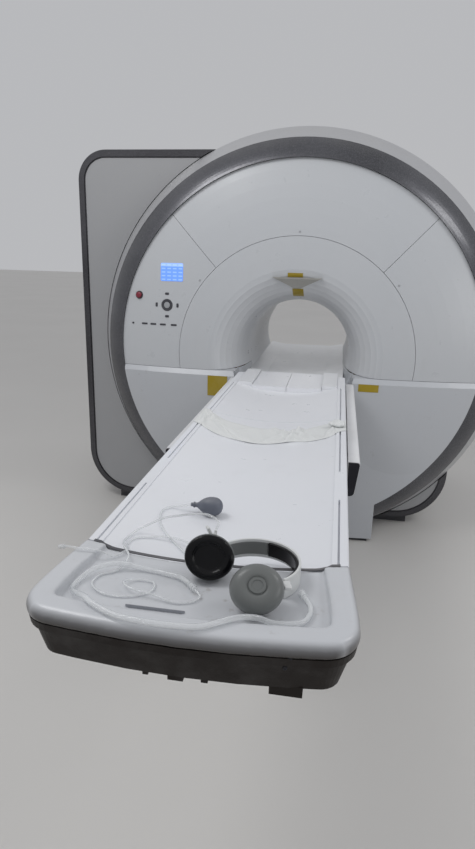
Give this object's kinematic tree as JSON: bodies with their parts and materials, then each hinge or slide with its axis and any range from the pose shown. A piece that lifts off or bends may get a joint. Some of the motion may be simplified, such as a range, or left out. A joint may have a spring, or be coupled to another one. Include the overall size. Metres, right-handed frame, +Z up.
{
  "type": "mri scanner",
  "caption": "Whole-body magnetic resonance scanner: round domed front with a dark bezel, offset body, flared patient bore, and a patient table on a lift column with a foot tray.",
  "frame": {"origin": "on the floor, under the axis of the patient bore, in the plane of the front bezel's inner edge", "axes": "+Z up, +Y along the bore from the table side into the scanner, +X to the right for someone who stands at the foot of the table and faces the bore"},
  "size_m": [2.5269, 3.928, 2.281],
  "materials": {
    "cover_white": "satin gel coat",
    "cover_grey": "satin gel coat",
    "hood_grey": "matt",
    "bezel_grey": "satin metallic paint",
    "band_grey": "satin metallic paint",
    "vessel": "painted, satin",
    "coil_resin": "cast resin",
    "coil_former": "matt",
    "base_dark": "matt paint",
    "frame_steel": "satin paint",
    "marker_amber": "semi-matt",
    "screw_steel": "brushed",
    "column_cover": "satin paint",
    "display_blue": "lit screen",
    "key_dark": "matt",
    "key_grey": "matt",
    "stop_red": "semi-gloss",
    "frame_white": "satin paint",
    "cap_dark": "matt",
    "rail_white": "slippery, matt",
    "top_white": "satin moulding",
    "block_white": "satin moulding",
    "tray_white": "satin moulding, worn edges",
    "fascia_brown": "matt",
    "bulb_grey": "matt rubber",
    "headset_white": "semi-matt",
    "headset_grey": "semi-matt",
    "pad_black": "smooth, slightly shiny cover",
    "tube_clear": "clear, glossy",
    "belt_white": "woven"
  },
  "bodies": {
    "gantry": {"magnet_vessel": "vessel", "cold_head_turret": "vessel", "gradient_coil": "coil_resin", "body_coil": "coil_former", "base_frame": "base_dark", "cover_frame": "frame_steel", "bore_liner": "cover_white", "bore_bridge": "cover_white", "inner_cover": "cover_white", "upper_cover_left": "cover_white", "upper_cover_top": "cover_white", "upper_cover_right": "cover_white", "lower_cover_left": "cover_grey", "lower_cover_right": "cover_grey", "lower_funnel": "cover_grey", "ring_bezel": "bezel_grey", "front_rim": "cover_white", "body_panel": "cover_white", "body_band": "band_grey", "body_shell": "cover_white", "rear_cover": "cover_white", "rear_funnel": "cover_white", "laser_housing": "hood_grey", "marker_plates": "marker_amber", "cover_screws": "screw_steel", "display_screen": "display_blue", "control_rings": "key_dark", "column_outer": "column_cover", "lift_screw": "screw_steel", "lift_motor": "base_dark"},
    "lift_stage": {"column_mid": "screw_steel"},
    "lift_carriage": {"column_inner": "screw_steel", "support_frame": "frame_white", "frame_end_caps": "cap_dark", "glide_rails": "rail_white"},
    "tabletop": {"tabletop_board": "top_white", "socket_blocks": "block_white", "socket_covers": "top_white", "foot_tray": "tray_white", "foot_fascia": "fascia_brown", "body_strap": "belt_white", "call_bulb": "bulb_grey", "call_tube": "tube_clear", "headset_band": "headset_white", "headset_cups": "headset_grey", "headset_pads": "pad_black", "headset_tube": "tube_clear", "supply_tube": "tube_clear", "tube_fittings": "tube_clear"},
    "stop_button_body": {"stop_button": "stop_red"},
    "nav_centre_key_body": {"nav_centre_key": "key_grey"},
    "key_right_body": {"key_right": "key_dark"},
    "key_up_body": {"key_up": "key_dark"},
    "key_left_body": {"key_left": "key_dark"},
    "key_down_body": {"key_down": "key_dark"},
    "row_key_1_body": {"row_key_1": "key_dark"},
    "row_key_2_body": {"row_key_2": "key_dark"},
    "row_key_3_body": {"row_key_3": "key_dark"},
    "row_key_4_body": {"row_key_4": "key_dark"},
    "row_key_5_body": {"row_key_5": "key_dark"}
  },
  "joints": [
    {"name": "table_lift", "type": "slide", "parent": "gantry", "child": "lift_carriage", "axis": [0, 0, 1], "range_m": [-0.38, 0]},
    {"name": "stage_lift", "type": "slide", "parent": "gantry", "child": "lift_stage", "axis": [0, 0, 1], "range_m": [-0.19, 0]},
    {"name": "table_slide", "type": "slide", "parent": "lift_carriage", "child": "tabletop", "axis": [0, 1, 0], "range_m": [0, 1.5]},
    {"name": "stop_button_press", "type": "slide", "parent": "gantry", "child": "stop_button_body", "axis": [0.1541, 0.9865, -0.0546], "range_m": [0, 0.005], "stiffness_N_per_m": 1500, "springref_m": -0.002},
    {"name": "nav_centre_key_press", "type": "slide", "parent": "gantry", "child": "nav_centre_key_body", "axis": [0.0965, 0.9947, -0.0355], "range_m": [0, 0.0015], "stiffness_N_per_m": 700, "springref_m": -0.001},
    {"name": "key_right_press", "type": "slide", "parent": "gantry", "child": "key_right_body", "axis": [0.0764, 0.9966, -0.0308], "range_m": [0, 0.0015], "stiffness_N_per_m": 700, "springref_m": -0.001},
    {"name": "key_up_press", "type": "slide", "parent": "gantry", "child": "key_up_body", "axis": [0.1011, 0.9938, -0.0459], "range_m": [0, 0.0015], "stiffness_N_per_m": 700, "springref_m": -0.001},
    {"name": "key_left_press", "type": "slide", "parent": "gantry", "child": "key_left_body", "axis": [0.1168, 0.9924, -0.0396], "range_m": [0, 0.0015], "stiffness_N_per_m": 700, "springref_m": -0.001},
    {"name": "key_down_press", "type": "slide", "parent": "gantry", "child": "key_down_body", "axis": [0.0925, 0.9954, -0.0261], "range_m": [0, 0.0015], "stiffness_N_per_m": 700, "springref_m": -0.001},
    {"name": "row_key_1_press", "type": "slide", "parent": "gantry", "child": "row_key_1_body", "axis": [0.1609, 0.9866, -0.0272], "range_m": [0, 0.0015], "stiffness_N_per_m": 700, "springref_m": -0.001},
    {"name": "row_key_2_press", "type": "slide", "parent": "gantry", "child": "row_key_2_body", "axis": [0.1365, 0.9903, -0.025], "range_m": [0, 0.0015], "stiffness_N_per_m": 700, "springref_m": -0.001},
    {"name": "row_key_3_press", "type": "slide", "parent": "gantry", "child": "row_key_3_body", "axis": [0.1184, 0.9927, -0.0231], "range_m": [0, 0.0015], "stiffness_N_per_m": 700, "springref_m": -0.001},
    {"name": "row_key_4_press", "type": "slide", "parent": "gantry", "child": "row_key_4_body", "axis": [0.0985, 0.9949, -0.0207], "range_m": [0, 0.0015], "stiffness_N_per_m": 700, "springref_m": -0.001},
    {"name": "row_key_5_press", "type": "slide", "parent": "gantry", "child": "row_key_5_body", "axis": [0.0763, 0.9969, -0.0176], "range_m": [0, 0.0015], "stiffness_N_per_m": 700, "springref_m": -0.001}
  ],
  "couplings": [
    {"joint": "stage_lift", "follows": "table_lift", "ratio": 0.5}
  ]
}
